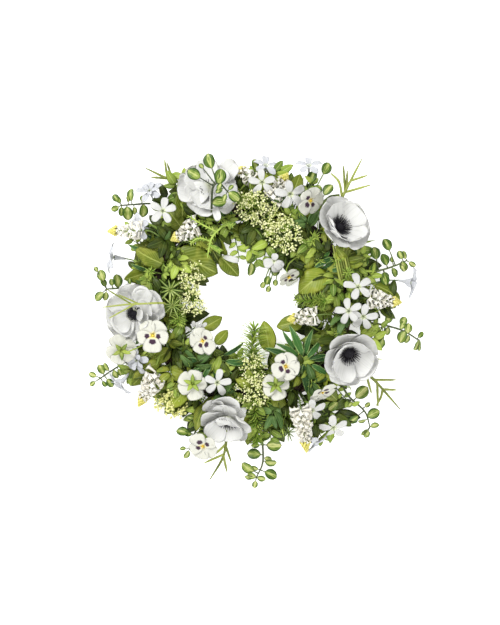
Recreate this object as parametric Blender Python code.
"""A summer wreath of silk flowers and leaves, lying on its back with its face up.

Everything is worked out in millimetres and turned to metres at the end.  X is right, Y is the
wreath's top and Z is towards its face.  The wreath is built as a florist builds one: the vine ring
first, then the sprays that lie low round it, then twigs of leaves, then the blooms on top.  Each
piece has a place and a height of its own, and one that would cross a piece already laid is raised
a little at a time until it is clear.
"""

import math
import random

import bmesh
import bpy
from mathutils import Matrix, Vector
from mathutils.bvhtree import BVHTree

# Driving dimensions, in millimetres and degrees
MM = 0.001
# This move brings the middle of the whole wreath over the origin
CENTRING = Vector((-0.9, 1.8, 0.0))
RING_CENTRE = Vector((-6.0, 21.0, 10.8))
RING_RADIUS = 119.0
VINE_RADIUS = 12.0
CANES = 3
CANE_RELIEF = 0.1
CANE_TURNS = 3
RING_STEPS = 36
SIDES_A_CANE = 3

# Pieces keep this gap, stems start this far from the vine, and roots go this far into what
# carries them
GAP = 0.4
SEAT = 0.75
ROOT_DEPTH = 0.9
SUNK = 0.2
LOWEST = 2.5

# Silk is this thick, and stalks, stems and twigs have these widths or radii
BLADE = 0.65
STALK = 1.2
STEM = 1.1
STEM_STEPS = 3
TWIG = 1.5
TWIG_STEP = 13
CROWN = 10.0

# Leaves shorter than TINY have a plainer outline, and those longer than BIG a ridge
TINY = 18.5
BIG = 37.0
LONG_PETIOLE = 0.3
# Shares of a leaf's length and half-width that it bows up and curls down
LEAF_BOW = 0.06
LEAF_CURL = 0.12

# A piece that would cross another is raised by these steps, and swung or rooted to a side
LIFT_STEP = 1.5
MOST_LIFTS = 26
ASIDE = (0, 3, -3, 6, -6, 9, -9, 13, -13, 17, -17)
SIDE_STEPS = (0, 7, -7, 14, -14, 21, -21, 28, -28)

# Points nearer than SLIVER are one point, and facets that differ by less than FLAT are one facet
SLIVER = 0.004
FLAT = math.radians(0.5)

# Along a blade past its petiole: shares of its length, and half-widths as shares of its widest
TINY_LEAF = ((0.0, 0.4), (0.5, 1.0), (1.0, 0.24))
SMALL_LEAF = ((0.0, 0.3), (0.38, 1.0), (0.76, 0.8), (1.0, 0.16))
BIG_LEAF = ((0.0, 0.3), (0.3, 1.0), (0.68, 0.74), (1.0, 0.05))
NARROW_LEAF = ((0.0, 0.4), (0.45, 1.0), (1.0, 0.16))
# Widths of the leaves as shares of their lengths, and how far below its own height a leaf is tried
BIG_WIDE = 0.78
NARROW_WIDE = 0.28
SMALL_WIDE = 0.82
TWIG_DROP = 4

COLOURS = {
    "vine": (0.09, 0.05, 0.03),
    "white_silk": (0.86, 0.86, 0.82),
    "cream_silk": (0.88, 0.86, 0.74),
    "black_heart": (0.01, 0.01, 0.012),
    "bud_cream": (0.72, 0.72, 0.36),
    "lime": (0.32, 0.52, 0.1),
    "olive": (0.28, 0.34, 0.1),
    "variegated": (0.22, 0.36, 0.08),
    "leaf_green": (0.08, 0.16, 0.03),
}


class Spray:
    """One sub-part: its solids stay apart until they are fused."""

    def __init__(self, name, colour):
        self.name = name
        self.colour = colour
        self.solids = []
        SPRAYS.append(self)


SPRAYS = []
LAID = []


# Shapes
def closed(solid):
    """Turns a closed mesh so that its faces point out."""
    if solid.calc_volume(signed=True) < 0:
        bmesh.ops.reverse_faces(solid, faces=solid.faces[:])
    return solid


def tube(points, radii, sides=3):
    """A stem: a grid rolled up round the points, with its two ends filled."""
    points = [Vector(point) for point in points]
    last = len(points) - 1
    ways = [points[min(i + 1, last)] - points[max(i - 1, 0)] for i in range(last + 1)]
    turns = [ways[0].to_track_quat("Z", "Y")]
    for before, after in zip(ways, ways[1:]):
        turns.append(before.rotation_difference(after) @ turns[-1])
    solid = bmesh.new()
    bmesh.ops.create_grid(solid, x_segments=sides, y_segments=last, size=0.5)
    for vert in solid.verts:
        angle = 2 * math.pi * (vert.co.x + 0.5)
        i = round((vert.co.y + 0.5) * last)
        radius = radii[0] + (radii[1] - radii[0]) * i / last
        vert.co = points[i] + turns[i] @ Vector((radius * math.cos(angle), radius * math.sin(angle), 0))
    bmesh.ops.remove_doubles(solid, verts=solid.verts[:], dist=0.001)
    bmesh.ops.holes_fill(solid, edges=solid.edges[:], sides=sides)
    bmesh.ops.recalc_face_normals(solid, faces=solid.faces[:])
    bmesh.ops.triangulate(solid, faces=solid.faces[:])
    return closed(solid)


def blade(root, tip, width, outline, across, petiole):
    """A leaf from root to tip: a grid moved to the outline, then given its thickness.

    It bows up along its length and down at its edges, and petiole is the share of the length that
    is a narrow stalk.
    """
    root, tip = Vector(root), Vector(tip)
    along = tip - root
    length = along.length
    along.normalize()
    side = along.cross(Vector((0, 0, 1))).normalized()
    face = side.cross(along)
    rows = [(petiole + (1 - petiole) * share, half) for share, half in outline]
    stalk = [(0.0, STALK / width)]
    if petiole > LONG_PETIOLE:
        stalk.append((petiole, STALK / width))
    rows = stalk + rows[1:]
    solid = bmesh.new()
    bmesh.ops.create_grid(solid, x_segments=across, y_segments=len(rows) - 1, size=0.5)
    for vert in solid.verts:
        u = 2 * vert.co.x
        v, share = rows[round((vert.co.y + 0.5) * (len(rows) - 1))]
        half = 0.5 * width * share
        rise = 4 * LEAF_BOW * length * v * (1 - v) - LEAF_CURL * half * u * u
        vert.co = root + side * (u * half) + along * (v * length) + face * rise
    bmesh.ops.triangulate(solid, faces=solid.faces[:])
    bmesh.ops.solidify(solid, geom=solid.faces[:], thickness=BLADE)
    return closed(solid)


def corolla(frame, count, first, reach, width, rise, depth, notch):
    """A bowl of broad petals stamped in one: a sheet whose rim runs out along each and in between.

    Each petal's blunt end has two corners, one lifted a little over the other, and notch is how far
    out the sheet is whole.  The rim rises by the rise in degrees, gently first and then more.
    """
    level = math.tan(math.radians(rise))
    blunt = reach * PETAL_CORNER
    spread = math.degrees(math.atan(width / 2 / blunt))
    rim = []
    for i in range(count):
        around = 360 / count * (i + first)
        rim.append((around - spread, blunt, blunt * level))
        rim.append((around + spread, blunt, blunt * level * PETAL_CURL))
        rim.append((around + 180 / count, notch, notch * level))
    solid = bmesh.new()
    bmesh.ops.create_grid(solid, x_segments=len(rim), y_segments=2, size=0.5)
    for vert in solid.verts:
        angle, out, height = rim[round((vert.co.x + 0.5) * len(rim)) % len(rim)]
        share = vert.co.y + 0.5
        angle = math.radians(angle)
        vert.co = frame @ Vector((
            share * out * math.sin(angle), share * out * math.cos(angle), depth + height * share ** BOWL,
        ))
    bmesh.ops.remove_doubles(solid, verts=solid.verts[:], dist=0.001)
    bmesh.ops.triangulate(solid, faces=solid.faces[:])
    bmesh.ops.solidify(solid, geom=solid.faces[:], thickness=BLADE)
    return closed(solid)


def stamped(frame, lobes, hub, depth=0.0):
    """A flat hub whose edges are drawn out into petals, one an edge, stamped from one sheet.

    Each lobe is a list of (out, half_width, rise) along the petal, in millimetres from the middle.
    """
    solid = bmesh.new()
    bmesh.ops.create_circle(solid, cap_ends=True, radius=hub, segments=len(lobes))
    middles = [(edge, edge.verts[0].co + edge.verts[1].co) for edge in solid.edges]
    middles.sort(key=lambda pair: math.atan2(pair[1].x, pair[1].y))
    for (edge, middle), lobe in zip(middles, lobes):
        out = middle.normalized()
        side = Vector((out.y, -out.x, 0))
        for reach, half, rise in lobe:
            drawn = bmesh.ops.extrude_edge_only(solid, edges=[edge])["geom"]
            edge = next(item for item in drawn if isinstance(item, bmesh.types.BMEdge))
            ends = sorted(edge.verts, key=lambda vert: vert.co.dot(side))
            ends[0].co = out * reach - side * half + Vector((0, 0, rise))
            ends[1].co = out * reach + side * half + Vector((0, 0, rise * 1.1))
    for vert in solid.verts:
        vert.co = frame @ (vert.co + Vector((0, 0, depth)))
    bmesh.ops.recalc_face_normals(solid, faces=solid.faces[:])
    bmesh.ops.triangulate(solid, faces=solid.faces[:])
    bmesh.ops.solidify(solid, geom=solid.faces[:], thickness=BLADE)
    return closed(solid)


def spindle(base, tip, profile, sides=3):
    """A turned bud on its ray: profile is (share of the length, radius), with points at both ends."""
    base, tip = Vector(base), Vector(tip)
    along = tip - base
    turn = along.to_track_quat("Z", "Y").to_matrix()
    solid = bmesh.new()
    bmesh.ops.create_grid(solid, x_segments=sides, y_segments=len(profile) - 1, size=0.5)
    for vert in solid.verts:
        angle = 2 * math.pi * (vert.co.x + 0.5)
        share, radius = profile[round((vert.co.y + 0.5) * (len(profile) - 1))]
        around = Vector((radius * math.cos(angle), radius * math.sin(angle), 0))
        vert.co = base + along * share + turn @ around
    bmesh.ops.remove_doubles(solid, verts=solid.verts[:], dist=0.001)
    bmesh.ops.triangulate(solid, faces=solid.faces[:])
    return closed(solid)


def cone(base, tip, wide, narrow=0.0, sides=3):
    """A needle, floret or cup from base to tip."""
    base, tip = Vector(base), Vector(tip)
    along = tip - base
    place = Matrix.Translation((base + tip) / 2) @ along.to_track_quat("Z", "Y").to_matrix().to_4x4()
    solid = bmesh.new()
    bmesh.ops.create_cone(
        solid, cap_ends=True, cap_tris=True, segments=sides, radius1=wide, radius2=narrow,
        depth=along.length, matrix=place,
    )
    return closed(solid)


def ball(centre, radius, rings=3, sides=5, squash=1.0, axis=(0, 0, 1)):
    """A bud or dome, flattened along its axis by squash."""
    turn = Vector(axis).to_track_quat("Z", "Y").to_matrix().to_4x4()
    place = Matrix.Translation(centre) @ turn @ Matrix.Diagonal((1, 1, squash, 1))
    solid = bmesh.new()
    bmesh.ops.create_uvsphere(solid, u_segments=sides, v_segments=rings, radius=radius, matrix=place)
    bmesh.ops.triangulate(solid, faces=solid.faces[:])
    return closed(solid)


# Laying pieces clear of each other
def box_of(solid):
    """The lowest and highest corners of a solid."""
    spans = [[vert.co[i] for vert in solid.verts] for i in range(3)]
    return [min(span) for span in spans], [max(span) for span in spans]


def grown(solid):
    """A copy of a solid that is larger by the gap all round."""
    copy = solid.copy()
    copy.normal_update()
    for vert in copy.verts:
        vert.co += vert.normal * GAP
    return copy


def is_clear(spray, solids):
    """Whether the solids keep the gap to every other spray that is laid."""
    for solid in solids:
        fat = grown(solid)
        low, high = box_of(fat)
        tree = None
        for owner, other_low, other_high, other in LAID:
            if owner is spray:
                continue
            if any(low[i] > other_high[i] or high[i] < other_low[i] for i in range(3)):
                continue
            tree = tree or BVHTree.FromBMesh(fat)
            if tree.overlap(other):
                fat.free()
                return False
        fat.free()
    return True


def lay(spray, solids):
    """Adds solids to a spray for good."""
    for solid in solids:
        low, high = box_of(solid)
        LAID.append((spray, low, high, BVHTree.FromBMesh(solid)))
        spray.solids.append(solid)


def settle(spray, make, sides=SIDE_STEPS, lifts=MOST_LIFTS):
    """Lays what make(lift, side) gives at the lowest lift, and least side step, that is clear."""
    for step in range(lifts):
        for side in sides:
            solids = make(step * LIFT_STEP, side)
            if is_clear(spray, solids):
                lay(spray, solids)
                return step * LIFT_STEP
            for solid in solids:
                solid.free()
    raise ValueError(f"no room for {spray.name}")


# The vine ring
def vine_ring():
    """A torus whose cross-section has a lobe for each cane and turns as it goes round."""
    bpy.ops.mesh.primitive_torus_add(
        major_segments=RING_STEPS, minor_segments=CANES * SIDES_A_CANE,
        major_radius=RING_RADIUS, minor_radius=VINE_RADIUS,
    )
    made = bpy.context.object
    solid = bmesh.new()
    solid.from_mesh(made.data)
    bpy.data.objects.remove(made)
    for vert in solid.verts:
        round_ring = math.atan2(vert.co.y, vert.co.x)
        out = math.hypot(vert.co.x, vert.co.y) - RING_RADIUS
        round_vine = math.atan2(vert.co.z, out)
        radius = VINE_RADIUS * (1 + CANE_RELIEF * math.cos(CANES * round_vine))
        turned = round_vine + CANE_TURNS * round_ring
        reach = RING_RADIUS + radius * math.cos(turned)
        height = RING_CENTRE.z + radius * math.sin(turned)
        vert.co.x = RING_CENTRE.x + reach * math.cos(round_ring)
        vert.co.y = RING_CENTRE.y + reach * math.sin(round_ring)
        vert.co.z = max(0.0, height)
    bmesh.ops.triangulate(solid, faces=solid.faces[:])
    ring = Spray("vine_ring", "vine")
    lay(ring, [closed(solid)])
    return LAID[-1][3]


def seat(guide):
    """The place a stem starts from, nearest on the vine to a guide point, and the way out of the vine."""
    place, normal, _, _ = VINE.find_nearest(Vector(guide))
    return place + normal * SEAT, normal


def on_ring(degrees, around, far=0.0):
    """A point on the ring at an angle, at an angle round the vine, so far from its surface."""
    angle, turn = math.radians(degrees), math.radians(around)
    thick = VINE_RADIUS * (1 + CANE_RELIEF) + far
    reach = RING_RADIUS + thick * math.cos(turn)
    return Vector((
        RING_CENTRE.x + reach * math.cos(angle),
        RING_CENTRE.y + reach * math.sin(angle),
        RING_CENTRE.z + thick * math.sin(turn),
    ))


def stem_to(target, away, side, radius=STEM):
    """A stem from the vine to a target, arriving along the direction away from it.

    The twigs lie on the vine's crown, so the stem of a piece right above it starts inside them.
    """
    target = Vector(target)
    out = Vector((target.x - RING_CENTRE.x, target.y - RING_CENTRE.y, 0))
    inward = CROWN if abs(out.length - RING_RADIUS) < CROWN else 0.0
    out.normalize()
    start, normal = seat(target + Vector((-out.y, out.x, 0)) * side - out * inward)
    reach = (target - start).length * 0.4
    second = start + normal * reach
    third = target + Vector(away).normalized() * reach
    points = []
    for i in range(STEM_STEPS + 1):
        t = i / STEM_STEPS
        points.append(
            start * (1 - t) ** 3 + second * 3 * t * (1 - t) ** 2
            + third * 3 * t * t * (1 - t) + target * t ** 3
        )
    return tube(points, (radius, radius * 0.8))


def facing(direction, lean):
    """The way a bloom faces when it leans so many degrees towards a compass direction."""
    angle, tilt = math.radians(direction), math.radians(lean)
    return Vector((
        math.sin(tilt) * math.cos(angle), math.sin(tilt) * math.sin(angle), math.cos(tilt)
    ))


def bloom_frame(centre, direction, lean, spin):
    """A bloom's own frame: its Z is the way it faces, and its Y is turned by spin."""
    turn = facing(direction, lean).to_track_quat("Z", "Y").to_matrix().to_4x4()
    flat = turn @ Vector((0, 1, 0))
    heading = math.degrees(math.atan2(flat.y, flat.x))
    return Matrix.Translation(centre) @ turn @ Matrix.Rotation(math.radians(spin - heading + 90), 4, "Z")


# Anemones: x, y, height, direction and degrees of lean, spin, size, rise of the outer petals
ANEMONES = (
    (103, 116, 47, 39, 37, 12, 1.2, 32),
    (116, -37, 47, -73, 32, 30, 1.2, 34),
    (-151, 11, 40, -80, 10, 6, 1.12, 16),
    (-34, -119, 42, -104, 56, 0, 1.08, 34),
    (-59, 164, 40, 60, 26, 22, 1.12, 22),
)
ANEMONE_REACH = 31.0
OUTER_PETALS = 5
INNER_PETALS = 4
# The inner sheet of petals is steeper by these degrees and stands this far over the outer one
STEEPER = 18
SHEET_STEP = 1.9
# Where a petal's corners are along it, how much more one lifts, and how its rise sets in
PETAL_CORNER = 0.94
PETAL_CURL = 1.08
BOWL = 1.6
# The heart's dome, and its stamens from root to tip, for a bloom of size 1
HEART_TALL = 3.2
HEART_WIDE = 5.6
STAMENS = 6
STAMEN_ROOT = 3.4
STAMEN_TIP = 10.8
HEART_STEP = 0.4
HEART_STEPS = 24


def anemone(number, x, y, z, direction, lean, spin, size, rise):
    """Two stacked sheets of petals on a small green cup, and the black heart that sits in them."""
    petals = Spray(f"anemone_{number}_petals", "white_silk")
    heart = Spray(f"anemone_{number}_heart", "black_heart")
    reach = ANEMONE_REACH * size

    def bloom(lift, side):
        frame = bloom_frame((x, y, z + lift), direction, lean, spin)
        axis = frame.to_3x3() @ Vector((0, 0, 1))
        steep = rise + STEEPER
        outer = reach * math.cos(math.radians(rise))
        inner = reach * math.cos(math.radians(steep))
        return [
            cone(frame @ Vector((0, 0, -7 * size)), frame @ Vector((0, 0, 1.5)), 2.4, 4.2 * size, 4),
            corolla(frame, OUTER_PETALS, 0, outer, outer * 0.92, rise, 0.0, outer * 0.66),
            corolla(frame, INNER_PETALS, 0.5, inner, inner, steep, SHEET_STEP, inner * 0.7),
            stem_to(frame @ Vector((0, 0, -5 * size)), -axis, side, 1.5),
        ]

    lift = settle(petals, bloom)
    frame = bloom_frame((x, y, z + lift), direction, lean, spin)
    axis = frame.to_3x3() @ Vector((0, 0, 1))
    tall = HEART_TALL * size
    wide = HEART_WIDE * size
    slope = math.tan(math.radians(rise + 30))

    def core(lift, side):
        low = SHEET_STEP + GAP + tall + side
        solids = [ball(frame @ Vector((0, 0, low)), wide, 3, 6, tall / wide, axis)]
        for i in range(STAMENS):
            angle = 2 * math.pi * i / STAMENS
            out = Vector((math.cos(angle), math.sin(angle), 0))
            root = out * STAMEN_ROOT * size + Vector((0, 0, low + 0.6))
            climb = (STAMEN_TIP - STAMEN_ROOT) * slope * size
            tip = out * STAMEN_TIP * size + Vector((0, 0, low + 0.6 + climb))
            solids.append(cone(frame @ root, frame @ tip, 0.9))
        return solids

    settle(heart, core, sides=[HEART_STEP * step for step in range(HEART_STEPS)], lifts=1)


# Violas: x, y, height, direction and degrees of lean, spin (top of the face), petal length
# A lean over 90 shows a bloom from its back
VIOLAS = (
    ((-127, -17, 58, -120, 14, 0, 18.2),),
    ((-65, -24, 50, -145, 28, 52, 16.1),),
    ((38, -56, 56, 10, 12, -62, 16.1), (26, -80, 44, -80, 166, 200, 15.4)),
    ((69, 151, 50, -40, 38, -48, 16.1),),
    ((42, 56, 44, -60, 58, 30, 12.8),),
    ((-65, -156, 30, -120, 30, -150, 16.8),),
    ((84, -88, 44, -60, 62, 140, 16.1),),
    ((-167, -36, 40, 120, 158, 20, 17.5),),
    ((-78, -78, 50, -120, 160, 200, 16.8),),
)
# A viola's five petals, round from its top left: shares of the length out and across
VIOLA_UPPER = ((0.62, 0.5, 0.08), (1.04, 0.3, 0.1))
VIOLA_SIDE = ((0.92, 0.42, 0.07),)
VIOLA_LOWER = ((0.68, 0.52, 0.04), (1.08, 0.3, 0.03))
VIOLA_FACE = (VIOLA_UPPER, VIOLA_SIDE, VIOLA_LOWER, VIOLA_SIDE, VIOLA_UPPER)
VIOLA_HUB = 2.8
VIOLA_NECK = 4.5
# A green star of sepals shows behind a bloom that is seen from its back
SEPAL = (8.0, 1.2, -4.0)


def viola(number, blooms):
    """Five round petals in three layers on a small cup with a stem; a second bloom joins it."""
    spray = Spray(f"viola_{number}", "cream_silk")
    fork = None
    for x, y, z, direction, lean, spin, length in blooms:

        def bloom(lift, side):
            frame = bloom_frame((x, y, z + lift), direction, lean, spin)
            axis = frame.to_3x3() @ Vector((0, 0, 1))
            turned = frame @ Matrix.Rotation(math.radians(-36), 4, "Z")
            neck = frame @ Vector((0, 0, -0.8 * VIOLA_NECK))
            lobes = [[(length * far, length * half, length * rise) for far, half, rise in lobe]
                     for lobe in VIOLA_FACE]
            solids = [
                cone(frame @ Vector((0, 0, -VIOLA_NECK)), frame @ Vector((0, 0, SUNK)), 1.5, 1.9),
                stamped(turned, lobes, VIOLA_HUB),
            ]
            if lean > 90:
                solids.append(stamped(frame, [[SEPAL]] * 5, 2.0, -3.4))
            away = -axis if lean < 90 else Vector((x * 0.002, y * 0.002, -0.8))
            if fork is None:
                solids.append(stem_to(neck, away, side, STEM))
            else:
                bend = neck + (away if lean < 90 else axis * -0.5).normalized() * (6 + abs(side))
                solids.append(tube((neck, bend, fork), (STEM * 0.9, STEM * 0.9)))
            return solids

        lift = settle(spray, bloom)
        if fork is None:
            frame = bloom_frame((x, y, z + lift), direction, lean, spin)
            fork = frame @ Vector((0, 0, 0.3 - VIOLA_NECK))


# Jasmine sprays: for each bloom x, y, height, direction and degrees of lean, spin, petal length
JASMINE = (
    ((-115, 138, 50, 60, 16, -8, 16.9), (-132, 163, 36, 110, 40, 10, 16.2), (-144, 118, 40, 175, 46, 0, 17.5),
     (-178, 81, 21, 174, 84, 0, 18.0)),
    ((9, 174, 46, -100, 14, 6, 16.2), (14, 196, 26, 85, 52, 0, 17.5), (44, 159, 50, -60, 22, 8, 18.8),
     (68, 196, 24, 92, 50, 0, 16.5)),
    ((129, 43, 46, 70, 24, 16, 17.5), (117, 13, 50, 170, 16, 8, 16.2), (135, 6, 50, -90, 22, -8, 16.9),
     (195, 50, 21, -8, 84, 0, 18.0)),
    ((-47, -76, 54, -60, 12, -10, 16.2),),
    ((99, -134, 26, -80, 32, 12, 17.5), (71, -111, 40, -60, 34, 0, 17.5), (74, -152, 20, -50, 76, 0, 16.0)),
    ((-148, -48, 34, -140, 44, 0, 17.5), (-169, -77, 20, -130, 80, 0, 17.0)),
)
TUBE_LENGTH = 15.0
# A petal's half-width as a share of its length, its rise, and the hub that it leaves
JASMINE_SLIM = 0.21
JASMINE_RISE = 2.6
JASMINE_HUB = 2.6
KNOT_HEIGHT = 3.5


def jasmine(number, blooms):
    """Blooms of five narrow petals on slim tubes, whose stems meet at the vine."""
    spray = Spray(f"jasmine_{number}", "white_silk")
    first = Vector(blooms[0][:3])
    root, normal = seat(first)
    knot = root + normal * KNOT_HEIGHT
    for x, y, z, direction, lean, spin, length in blooms:

        def bloom(lift, side):
            frame = bloom_frame((x, y, z + lift), direction, lean, spin)
            axis = frame.to_3x3() @ Vector((0, 0, 1))
            mouth = frame @ Vector((0, 0, SUNK))
            throat = frame @ Vector((0, 0, -TUBE_LENGTH))
            star = stamped(frame, [[(length, length * JASMINE_SLIM, JASMINE_RISE)]] * 5, JASMINE_HUB)
            if len(blooms) == 1:
                return [star, tube((mouth, throat), (2.0, 1.2)), stem_to(throat + axis, -axis, side)]
            middle = (throat + knot) / 2 - axis * 3 + normal * (2 + abs(side) / 2)
            return [star, tube((mouth, throat, middle, knot), (2.0, 0.9))]

        settle(spray, bloom)
    if len(blooms) > 1:
        lay(spray, [tube((root, root + normal * 2.2, knot + normal * 1.6), (1.6, 1.4)), ball(knot, 2.2)])


# Floret spikes: base x, y, height and tip x, y, height
SPIKES = (
    (((141, 29, 38), (184, 24, 30)),),
    (((-141, 114, 30), (-184, 113, 24)),),
    (((-72, 120, 44), (-105, 102, 36)),),
    (((-122, -65, 38), (-147, -107, 26)),),
    (((57, -108, 40), (65, -164, 24)),),
    (((78, 8, 46), (41, 2, 40)),),
    (((19, 152, 40), (41, 186, 34)), ((-4, 178, 34), (-21, 194, 26))),
)
FLORET_ROWS = 3
FLORETS_A_ROW = 3


def spike(number, heads):
    """A tapering core stood all round with florets, and a close yellow tip of buds."""
    spray = Spray(f"floret_spike_{number}", "cream_silk")
    fork = None
    for base, tip in heads:

        def bloom(lift, side):
            low, high = Vector(base), Vector(tip)
            low.z += lift
            high.z += lift
            along = high - low
            length = along.length
            frame = Matrix.Translation(low) @ along.to_track_quat("Z", "Y").to_matrix().to_4x4()
            solids = [cone(low, high, 3.4, 1.6, 5)]
            for row in range(FLORET_ROWS):
                share = row / FLORET_ROWS
                for i in range(FLORETS_A_ROW):
                    angle = 2 * math.pi * (i + 0.5 * (row % 2)) / FLORETS_A_ROW
                    out = Vector((math.cos(angle), math.sin(angle), 0))
                    start = out * 1.6 + Vector((0, 0, length * (0.04 + 0.64 * share)))
                    reach = 9.6 - 3.0 * share
                    end = start + out * reach * 0.8 + Vector((0, 0, reach * 0.6))
                    solids.append(cone(frame @ start, frame @ end, 1.2, 3.6, 3))
            solids.append(cone(low + along * 0.74, high, 4.4, 1.2, 4))
            if fork is None:
                solids.append(stem_to(low + along * 0.04, -along, side, 1.3))
            else:
                bend = low - along.normalized() * (3 + abs(side))
                solids.append(tube((low + along * 0.04, bend, fork), (1.2, 1.2)))
            return solids

        lift = settle(spray, bloom)
        fork = fork or Vector(base) + Vector((0, 0, lift))


# Umbels: for each head x, y, height and spread; every head's rays end in buds
UMBELS = (
    ((-4, 144, 42, 18), (18, 128, 44, 17), (38, 108, 46, 19)),
    ((-81, 55, 40, 16), (-80, 27, 40, 17)),
    ((-2, -60, 40, 15), (0, -88, 40, 18)),
    ((-118, -102, 30, 8), (-99, -110, 30, 10), (-104, -92, 34, 8)),
)
BUDS_A_MM = 0.24
RAY_ROOT = 0.4
UMBEL_DEPTH = 11.0
GOLDEN = math.radians(137.5)
# A bud on its ray: shares of the whole length, and radii
BUD = ((0.0, 0.0), (0.1, 0.6), (0.7, 0.6), (0.86, 2.9), (1.0, 0.0))


def umbel(number, heads, draw):
    """Heads of buds on thin rays, spread evenly by the golden angle; later heads join the first."""
    spray = Spray(f"bud_umbel_{number}", "bud_cream")
    join = None
    for x, y, z, spread in heads:
        count = max(4, round(spread * BUDS_A_MM))
        jitter = [draw.uniform(0.85, 1.0) for _ in range(count)]

        def head(lift, side):
            fork = Vector((x, y, z + lift - UMBEL_DEPTH))
            solids = [ball(fork, 1.9)]
            for i in range(count):
                share = math.sqrt((i + 0.4) / count)
                out = Vector((math.cos(GOLDEN * i), math.sin(GOLDEN * i), 0)) * spread * share * jitter[i]
                bud = fork + out + Vector((0, 0, UMBEL_DEPTH * math.sqrt(max(0.1, 1 - 0.75 * share * share))))
                solids.append(spindle(fork + (bud - fork).normalized() * RAY_ROOT, bud, BUD))
            if join is None:
                solids.append(stem_to(fork, (0, 0, -1), side, 1.2))
            else:
                middle = (join + fork) / 2 - Vector((0, 0, 2))
                solids.append(tube((join, middle, fork), (1.1, 1.0)))
            return solids

        lift = settle(spray, head)
        join = join or Vector((x, y, z + lift - UMBEL_DEPTH))


# Needle sprigs: for each axis its points, needle length and needles a millimetre
NEEDLES = (
    ((((-6, -66, 30), (-4, -44, 36), (-1, -10, 38)), 9.0, 0.24),
     (((-2, -92, 36), (2, -122, 34), (2, -152, 26)), 12.0, 0.17)),
    ((((-98, -2, 34), (-97, 8, 38), (-101, 44, 36)), 10.0, 0.22),),
    ((((92, 27, 44), (80, 25, 42), (54, 27, 38)), 9.0, 0.26),),
)


def needle_sprig(number, axes):
    """Slim cores with needles standing out all round them and forward."""
    spray = Spray(f"needle_sprig_{number}", "lime")
    fork = None
    for axis, length, density in axes:

        def sprig(lift, side):
            points = [Vector(point) + Vector((0, 0, lift)) for point in axis]
            solids = [tube(points, (1.5, 0.9))]
            for i in range(len(points) - 1):
                low, high = points[i], points[i + 1]
                along = high - low
                turn = along.to_track_quat("Z", "Y").to_matrix()
                count = max(2, round(along.length * density))
                for j in range(count):
                    angle = GOLDEN * (j + 3 * i)
                    out = turn @ Vector((math.cos(angle), math.sin(angle), 0.75))
                    start = low + along * (j + 0.5) / count
                    solids.append(cone(start, start + out.normalized() * length, 0.85))
            start = points[0] + (points[1] - points[0]) * 0.1
            if fork is None:
                solids.append(stem_to(start, points[0] - points[1], side))
            else:
                middle = (start + fork) / 2 - Vector((0, 0, abs(side) * 0.3))
                solids.append(tube((start, middle, fork), (1.2, 1.2)))
            return solids

        lift = settle(spray, sprig)
        fork = fork or Vector(axis[0]) + Vector((0, 0, lift))


# Antler sprigs: lists of tines, each a list of x, y, height; the first starts at the vine
ANTLERS = (
    (((104, 138, 22), (110, 156, 20), (122, 180, 18), (134, 203, 16)), ((114, 166, 19), (112, 194, 20)),
     ((116, 169, 19), (117, 189, 14)), ((121, 178, 18), (140, 184, 20)), ((113, 163, 19), (143, 172, 14)),
     ((110, 158, 20), (106, 176, 24), (97, 186, 22))),
    (((-86, 164, 20), (-97, 176, 18), (-111, 181, 16), (-136, 193, 14)), ((-111, 181, 16), (-114, 202, 18)),
     ((-104, 179, 17), (-111, 199, 10)), ((-112, 181, 16), (-130, 183, 10)),
     ((-99, 177, 18), (-120, 170, 12)),
     ((-97, 176, 18), (-92, 188, 14), (-79, 197, 12))),
    (((130, -52, 20), (140, -64, 18), (151, -74, 16), (162, -86, 14), (182, -109, 12)),
     ((151, -74, 16), (176, -74, 18)), ((162, -86, 14), (178, -87, 12)), ((155, -79, 15), (156, -105, 14)),
     ((162, -86, 14), (160, -96, 12), (155, -106, 10)), ((140, -64, 18), (147, -88, 12))),
    (((-34, -116, 16), (-36, -140, 14), (-37, -158, 12), (-42, -176, 10), (-56, -199, 8)),
     ((-37, -156, 12), (-48, -166, 12), (-60, -173, 11)), ((-40, -169, 11), (-62, -179, 8)),
     ((-37, -158, 12), (-31, -176, 10)), ((-40, -170, 11), (-36, -189, 8))),
    (((-120, 23, 60), (-140, 22, 64), (-160, 21, 66), (-186, 18, 66)), ((-152, 21, 65), (-180, 38, 68)),
     ((-144, 22, 64), (-166, 32, 69)), ((-148, 22, 65), (-177, 6, 67))),
    (((-40, 120, 44), (-54, 104, 47), (-59, 82, 46)), ((-47, 112, 45), (-64, 120, 50), (-82, 131, 50)),
     ((-43, 117, 45), (-36, 122, 48), (-27, 120, 48)), ((-55, 100, 47), (-70, 104, 49), (-80, 98, 49)),
     ((-56, 96, 47), (-44, 88, 49))),
)


def antler(number, tines):
    """Forked olive tines: the first runs from the vine, the rest leave it on the way."""
    spray = Spray(f"antler_sprig_{number}", "olive")

    def sprig(lift, side):
        solids = []
        for index, tine in enumerate(tines):
            points = [Vector(point) + Vector((0, 0, lift)) for point in tine]
            solids.append(tube(points, (1.25 if index == 0 else 1.0, 0.7)))
        start = Vector(tines[0][0]) + Vector((0, 0, lift))
        along = Vector(tines[0][1]) - Vector(tines[0][0])
        solids.append(stem_to(start + along.normalized() * 1.5, -along, side, 1.2))
        return solids

    settle(spray, sprig)


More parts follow.
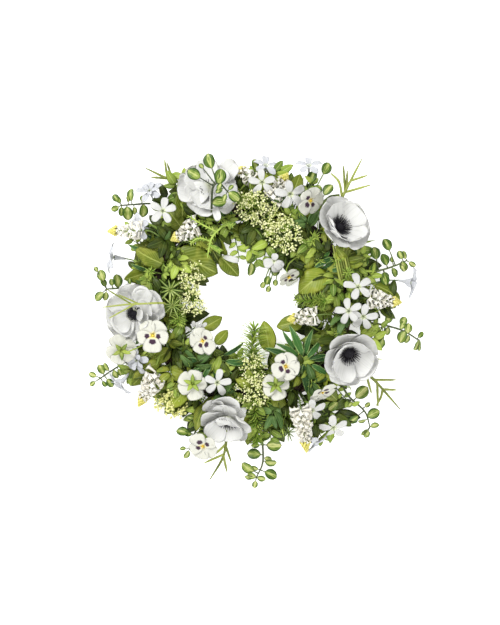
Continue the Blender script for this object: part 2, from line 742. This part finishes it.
# Leafy sprays: stem points, then leaves as x, y, length
LEAFY = (
    (((-118, 148, 22), (-136, 149, 20), (-152, 148, 18), (-169, 147, 16)),
     ((-176, 156, 12), (-177, 143, 11), (-161, 137, 18), (-141, 140, 17))),
    (((-134, 40, 16), (-151, 43, 14), (-172, 42, 12), (-188, 41, 11)),
     ((-194, 58, 16), (-174, 51, 18), (-197, 32, 15))),
    (((-140, -36, 16), (-160, -49, 12), (-178, -60, 11), (-196, -72, 10)),
     ((-195, -61, 14), (-206, -79, 9), (-184, -78, 13), (-177, -67, 12))),
    (((-68, -96, 16), (-71, -114, 22), (-74, -134, 26), (-82, -160, 22)),
     ((-91, -139, 17), (-64, -123, 15), (-65, -144, 19), (-86, -168, 12))),
    (((6, -112, 16), (9, -146, 16), (10, -178, 13), (2, -198, 10)),
     ((-1, -168, 18), (24, -157, 20), (-9, -186, 19), (20, -179, 16), (20, -194, 18), (0, -207, 10))),
    (((106, -72, 18), (118, -94, 20), (139, -114, 16), (146, -134, 12)),
     ((135, -90, 21), (125, -124, 15), (150, -117, 18), (142, -143, 11),
      (99, -107, 16))),
    (((130, 0, 20), (160, -4, 18), (188, -12, 15), (208, -24, 11)),
     ((188, 0, 13), (187, -19, 18), (206, -30, 16), (157, -20, 18), (143, -22, 16))),
    (((126, 62, 22), (155, 64, 22), (176, 70, 20), (192, 77, 18)),
     ((130, 92, 18), (152, 86, 17), (167, 97, 17), (138, 76, 18), (164, 54, 17),
      (188, 70, 14), (184, 84, 12))),
    (((-54, 140, 30), (-52, 164, 50), (-44, 170, 52), (-34, 160, 50)),
     ((-75, 181, 19), (-56, 197, 20), (-43, 178, 20), (-45, 148, 19), (-26, 154, 17))),
)


def leaf_on(stem, x, y, length, drop, aside, wide=SMALL_WIDE, outline=SMALL_LEAF, across=1):
    """A leaf centred at x, y, or swung aside, whose stalk leaves the nearest place on a stem."""
    best = None
    for low, high in zip(stem, stem[1:]):
        for share in (0.0, 0.25, 0.5, 0.75, 1.0):
            place = low.lerp(high, share)
            reach = math.hypot(place.x - x, place.y - y)
            if best is None or reach < best[0]:
                best = (reach, place)
    place = best[1]
    centre = Vector((x, y, place.z + drop))
    out = centre - place
    out.z = 0.0
    if out.length < 0.5:
        out = stem[-1] - stem[-2]
        out.z = 0.0
    out.normalize()
    centre += Vector((-out.y, out.x, 0)) * aside
    tip = centre + out * length / 2 + Vector((0, 0, drop * 0.3))
    tip.z = max(tip.z, LOWEST)
    whole = (tip - place).length
    stalk = max(0.0, 1 - length / whole)
    root = place - out * ROOT_DEPTH
    return [blade(root, tip, length * wide, outline, across, stalk)]


def leafy(number, stem, leaves):
    """A thin stem with round leaves on both sides."""
    spray = Spray(f"leafy_spray_{number}", "variegated")
    raised = [Vector(point) for point in stem]

    def stalk(lift, side):
        points = [point + Vector((0, 0, lift)) for point in raised]
        along = points[1] - points[0]
        start = points[0] + along.normalized() * 1.5
        return [tube(points, (1.1, 0.7)), stem_to(start, -along, side, 1.2)]

    lift = settle(spray, stalk)
    points = [point + Vector((0, 0, lift)) for point in raised]
    for x, y, length in leaves:

        def leaf(raise_by, side):
            outline = TINY_LEAF if length < TINY else SMALL_LEAF
            return leaf_on(points, x, y, length, 1.0 + raise_by, side, outline=outline)

        settle(spray, leaf, sides=ASIDE, lifts=8)


# Twigs along the ring: start and end angles, the angle round the vine, then big leaves as
# x, y, height above the twig, length, and in the same way narrow and small ones
TWIGS = (
    (66, 122, 100,
     ((-32, 70, 0, 40), (34, 172, -8, 30), (52, 172, 4, 30), (70, 130, 3, 34)),
     ((-32, 126, 8, 32), (-48, 140, 9, 26), (8, 118, 8, 30)),
     ((-5, 66, 2, 17), (26, 64, 2, 14), (0, 198, 3, 14), (16, 52, 1, 12))),
    (129, 188, 100,
     ((-69, 74, 3, 46), (-132, 80, 6, 40), (-100, 128, 4, 36), (-62, 104, 1, 32)),
     ((-146, 90, 8, 30),),
     ()),
    (196, 262, 100,
     ((-54, -2, 2, 34), (-42, -20, 4, 28), (-120, -44, 4, 34), (-96, -96, 3, 34), (-58, -110, 3, 34)),
     ((-84, -48, 8, 34), (-20, -52, 8, 36), (-62, -66, 9, 28)),
     ()),
    (268, 338, 100,
     ((15, -19, 4, 40), (44, -3, 2, 44), (30, -104, 4, 34), (92, -88, -6, 36), (62, -128, 2, 34),
      (90, -20, 4, 32)),
     ((52, -24, 9, 42), (75, -34, 9, 32), (28, -38, 9, 34), (64, -72, 8, 42), (84, -62, 8, 32)),
     ()),
    (-14, 60, 100,
     ((72, 50, 3, 44), (66, 84, 4, 38), (100, 58, 2, 38), (168, 38, -4, 38), (118, 84, 3, 34),
      (96, 150, 3, 30)),
     ((86, 74, 10, 30), (108, 66, 9, 28)),
     ((72, 182, 2, 17), (90, 193, 2, 17), (78, 165, 3, 16), (92, 166, 3, 17))),
)


def twig(number, start, end, around):
    """A twig that lies along the vine; returns its spray and the points along it."""
    spray = Spray(f"leaf_twig_{number}", "leaf_green")
    count = round((end - start) / TWIG_STEP)
    arc = [on_ring(start + (end - start) * i / count, around, GAP + TWIG) for i in range(count + 1)]
    lay(spray, [tube(arc, (TWIG, TWIG * 0.8))])
    return spray, arc


def twig_leaves(spray, arc, big, narrow, small):
    """Big, narrow and small leaves on a twig, each swung or raised until it is clear."""
    kinds = (
        (big, BIG_WIDE, BIG_LEAF, 2), (narrow, NARROW_WIDE, NARROW_LEAF, 1), (small, SMALL_WIDE, SMALL_LEAF, 1)
    )
    for leaves, wide, outline, across in kinds:
        for x, y, rise, length in leaves:

            def leaf(lift, side):
                facets = across if length > BIG else 1
                return leaf_on(arc, x, y, length, rise - TWIG_DROP + lift, side, wide, outline, facets)

            settle(spray, leaf, sides=ASIDE, lifts=10)


# Fusing and finishing
def material(name):
    """A Principled material in one of the wreath's colours."""
    made = bpy.data.materials.get(name)
    if made is None:
        made = bpy.data.materials.new(name)
        made.use_nodes = True
        shader = made.node_tree.nodes["Principled BSDF"]
        shader.inputs["Base Color"].default_value = (*COLOURS[name], 1)
        shader.inputs["Roughness"].default_value = 0.7
        shader.inputs["Metallic"].default_value = 0.0
        made.diffuse_color = (*COLOURS[name], 1)
    return made


def keep_body(solid):
    """Drops loose scraps and fills sealed hollows, so that one body is left."""
    seen = set()
    bodies = []
    for face in solid.faces:
        if face in seen:
            continue
        body = []
        queue = [face]
        seen.add(face)
        while queue:
            current = queue.pop()
            body.append(current)
            for edge in current.edges:
                for near in edge.link_faces:
                    if near not in seen:
                        seen.add(near)
                        queue.append(near)
        volume = sum(
            f.verts[0].co.dot(f.verts[1].co.cross(f.verts[2].co)) / 6 for f in body
        )
        bodies.append((volume, body))
    bodies.sort(key=lambda pair: -pair[0])
    scraps = [face for _, body in bodies[1:] for face in body]
    if scraps:
        bmesh.ops.delete(solid, geom=scraps, context="FACES")


def leaner(solid):
    """The solid with close points merged and flat facets joined, or as it was if that would open it."""
    lean = solid.copy()
    bmesh.ops.remove_doubles(lean, verts=lean.verts[:], dist=SLIVER)
    bmesh.ops.dissolve_limit(lean, angle_limit=FLAT, verts=lean.verts[:], edges=lean.edges[:])
    bmesh.ops.triangulate(lean, faces=lean.faces[:])
    if all(edge.is_manifold for edge in lean.edges):
        solid.free()
        return lean
    lean.free()
    return solid


def fuse(spray, parts):
    """One body from a spray's solids: a Boolean union on a collection, then turned to metres."""
    loose = bpy.data.collections.new("loose")
    bpy.context.scene.collection.children.link(loose)
    objects = []
    for solid in spray.solids:
        mesh = bpy.data.meshes.new(spray.name)
        solid.to_mesh(mesh)
        solid.free()
        objects.append(bpy.data.objects.new(spray.name, mesh))
    body = objects[0]
    bpy.context.scene.collection.objects.link(body)
    for other in objects[1:]:
        loose.objects.link(other)
    if len(objects) > 1:
        union = body.modifiers.new("union", "BOOLEAN")
        union.operation = "UNION"
        union.operand_type = "COLLECTION"
        union.collection = loose
        union.solver = "MANIFOLD"
    graph = bpy.context.evaluated_depsgraph_get()
    mesh = bpy.data.meshes.new_from_object(body.evaluated_get(graph))
    solid = bmesh.new()
    solid.from_mesh(mesh)
    bmesh.ops.triangulate(solid, faces=solid.faces[:])
    keep_body(solid)
    solid = leaner(solid)
    bmesh.ops.translate(solid, vec=CENTRING, verts=solid.verts[:])
    bmesh.ops.scale(solid, vec=(MM, MM, MM), verts=solid.verts[:])
    solid.to_mesh(mesh)
    solid.free()
    for made in objects:
        bpy.data.objects.remove(made)
    bpy.data.collections.remove(loose)
    mesh.name = spray.name
    mesh.materials.clear()
    mesh.materials.append(material(spray.colour))
    mesh.shade_smooth()
    mesh.set_sharp_from_angle(angle=math.radians(40))
    node = bpy.data.objects.new(spray.name, mesh)
    parts.objects.link(node)
    print(spray.name, len(mesh.polygons))


for old in list(bpy.data.objects):
    bpy.data.objects.remove(old)
VINE = vine_ring()
for n, tines in enumerate(ANTLERS[:4], 1):
    antler(n, tines)
for n, (stem, leaves) in enumerate(LEAFY[:8], 1):
    leafy(n, stem, leaves)
twigs = [twig(n, *row[:3]) for n, row in enumerate(TWIGS, 1)]
for n, row in enumerate(ANEMONES, 1):
    anemone(n, *row)
for n, (stem, leaves) in enumerate(LEAFY[8:], 9):
    leafy(n, stem, leaves)
for n, tines in enumerate(ANTLERS[4:], 5):
    antler(n, tines)
for n, blooms in enumerate(JASMINE, 1):
    jasmine(n, blooms)
for n, heads in enumerate(SPIKES, 1):
    spike(n, heads)
for n, blooms in enumerate(VIOLAS, 1):
    viola(n, blooms)
for n, axes in enumerate(NEEDLES, 1):
    needle_sprig(n, axes)
seeded = random.Random(7)
for n, heads in enumerate(UMBELS, 1):
    umbel(n, heads, seeded)
for (spray, arc), row in zip(twigs, TWIGS):
    twig_leaves(spray, arc, *row[3:])

wreath = bpy.data.collections.new("summer_wreath")
bpy.context.scene.collection.children.link(wreath)
for spray in SPRAYS:
    fuse(spray, wreath)
print(len(SPRAYS), "sub-parts")
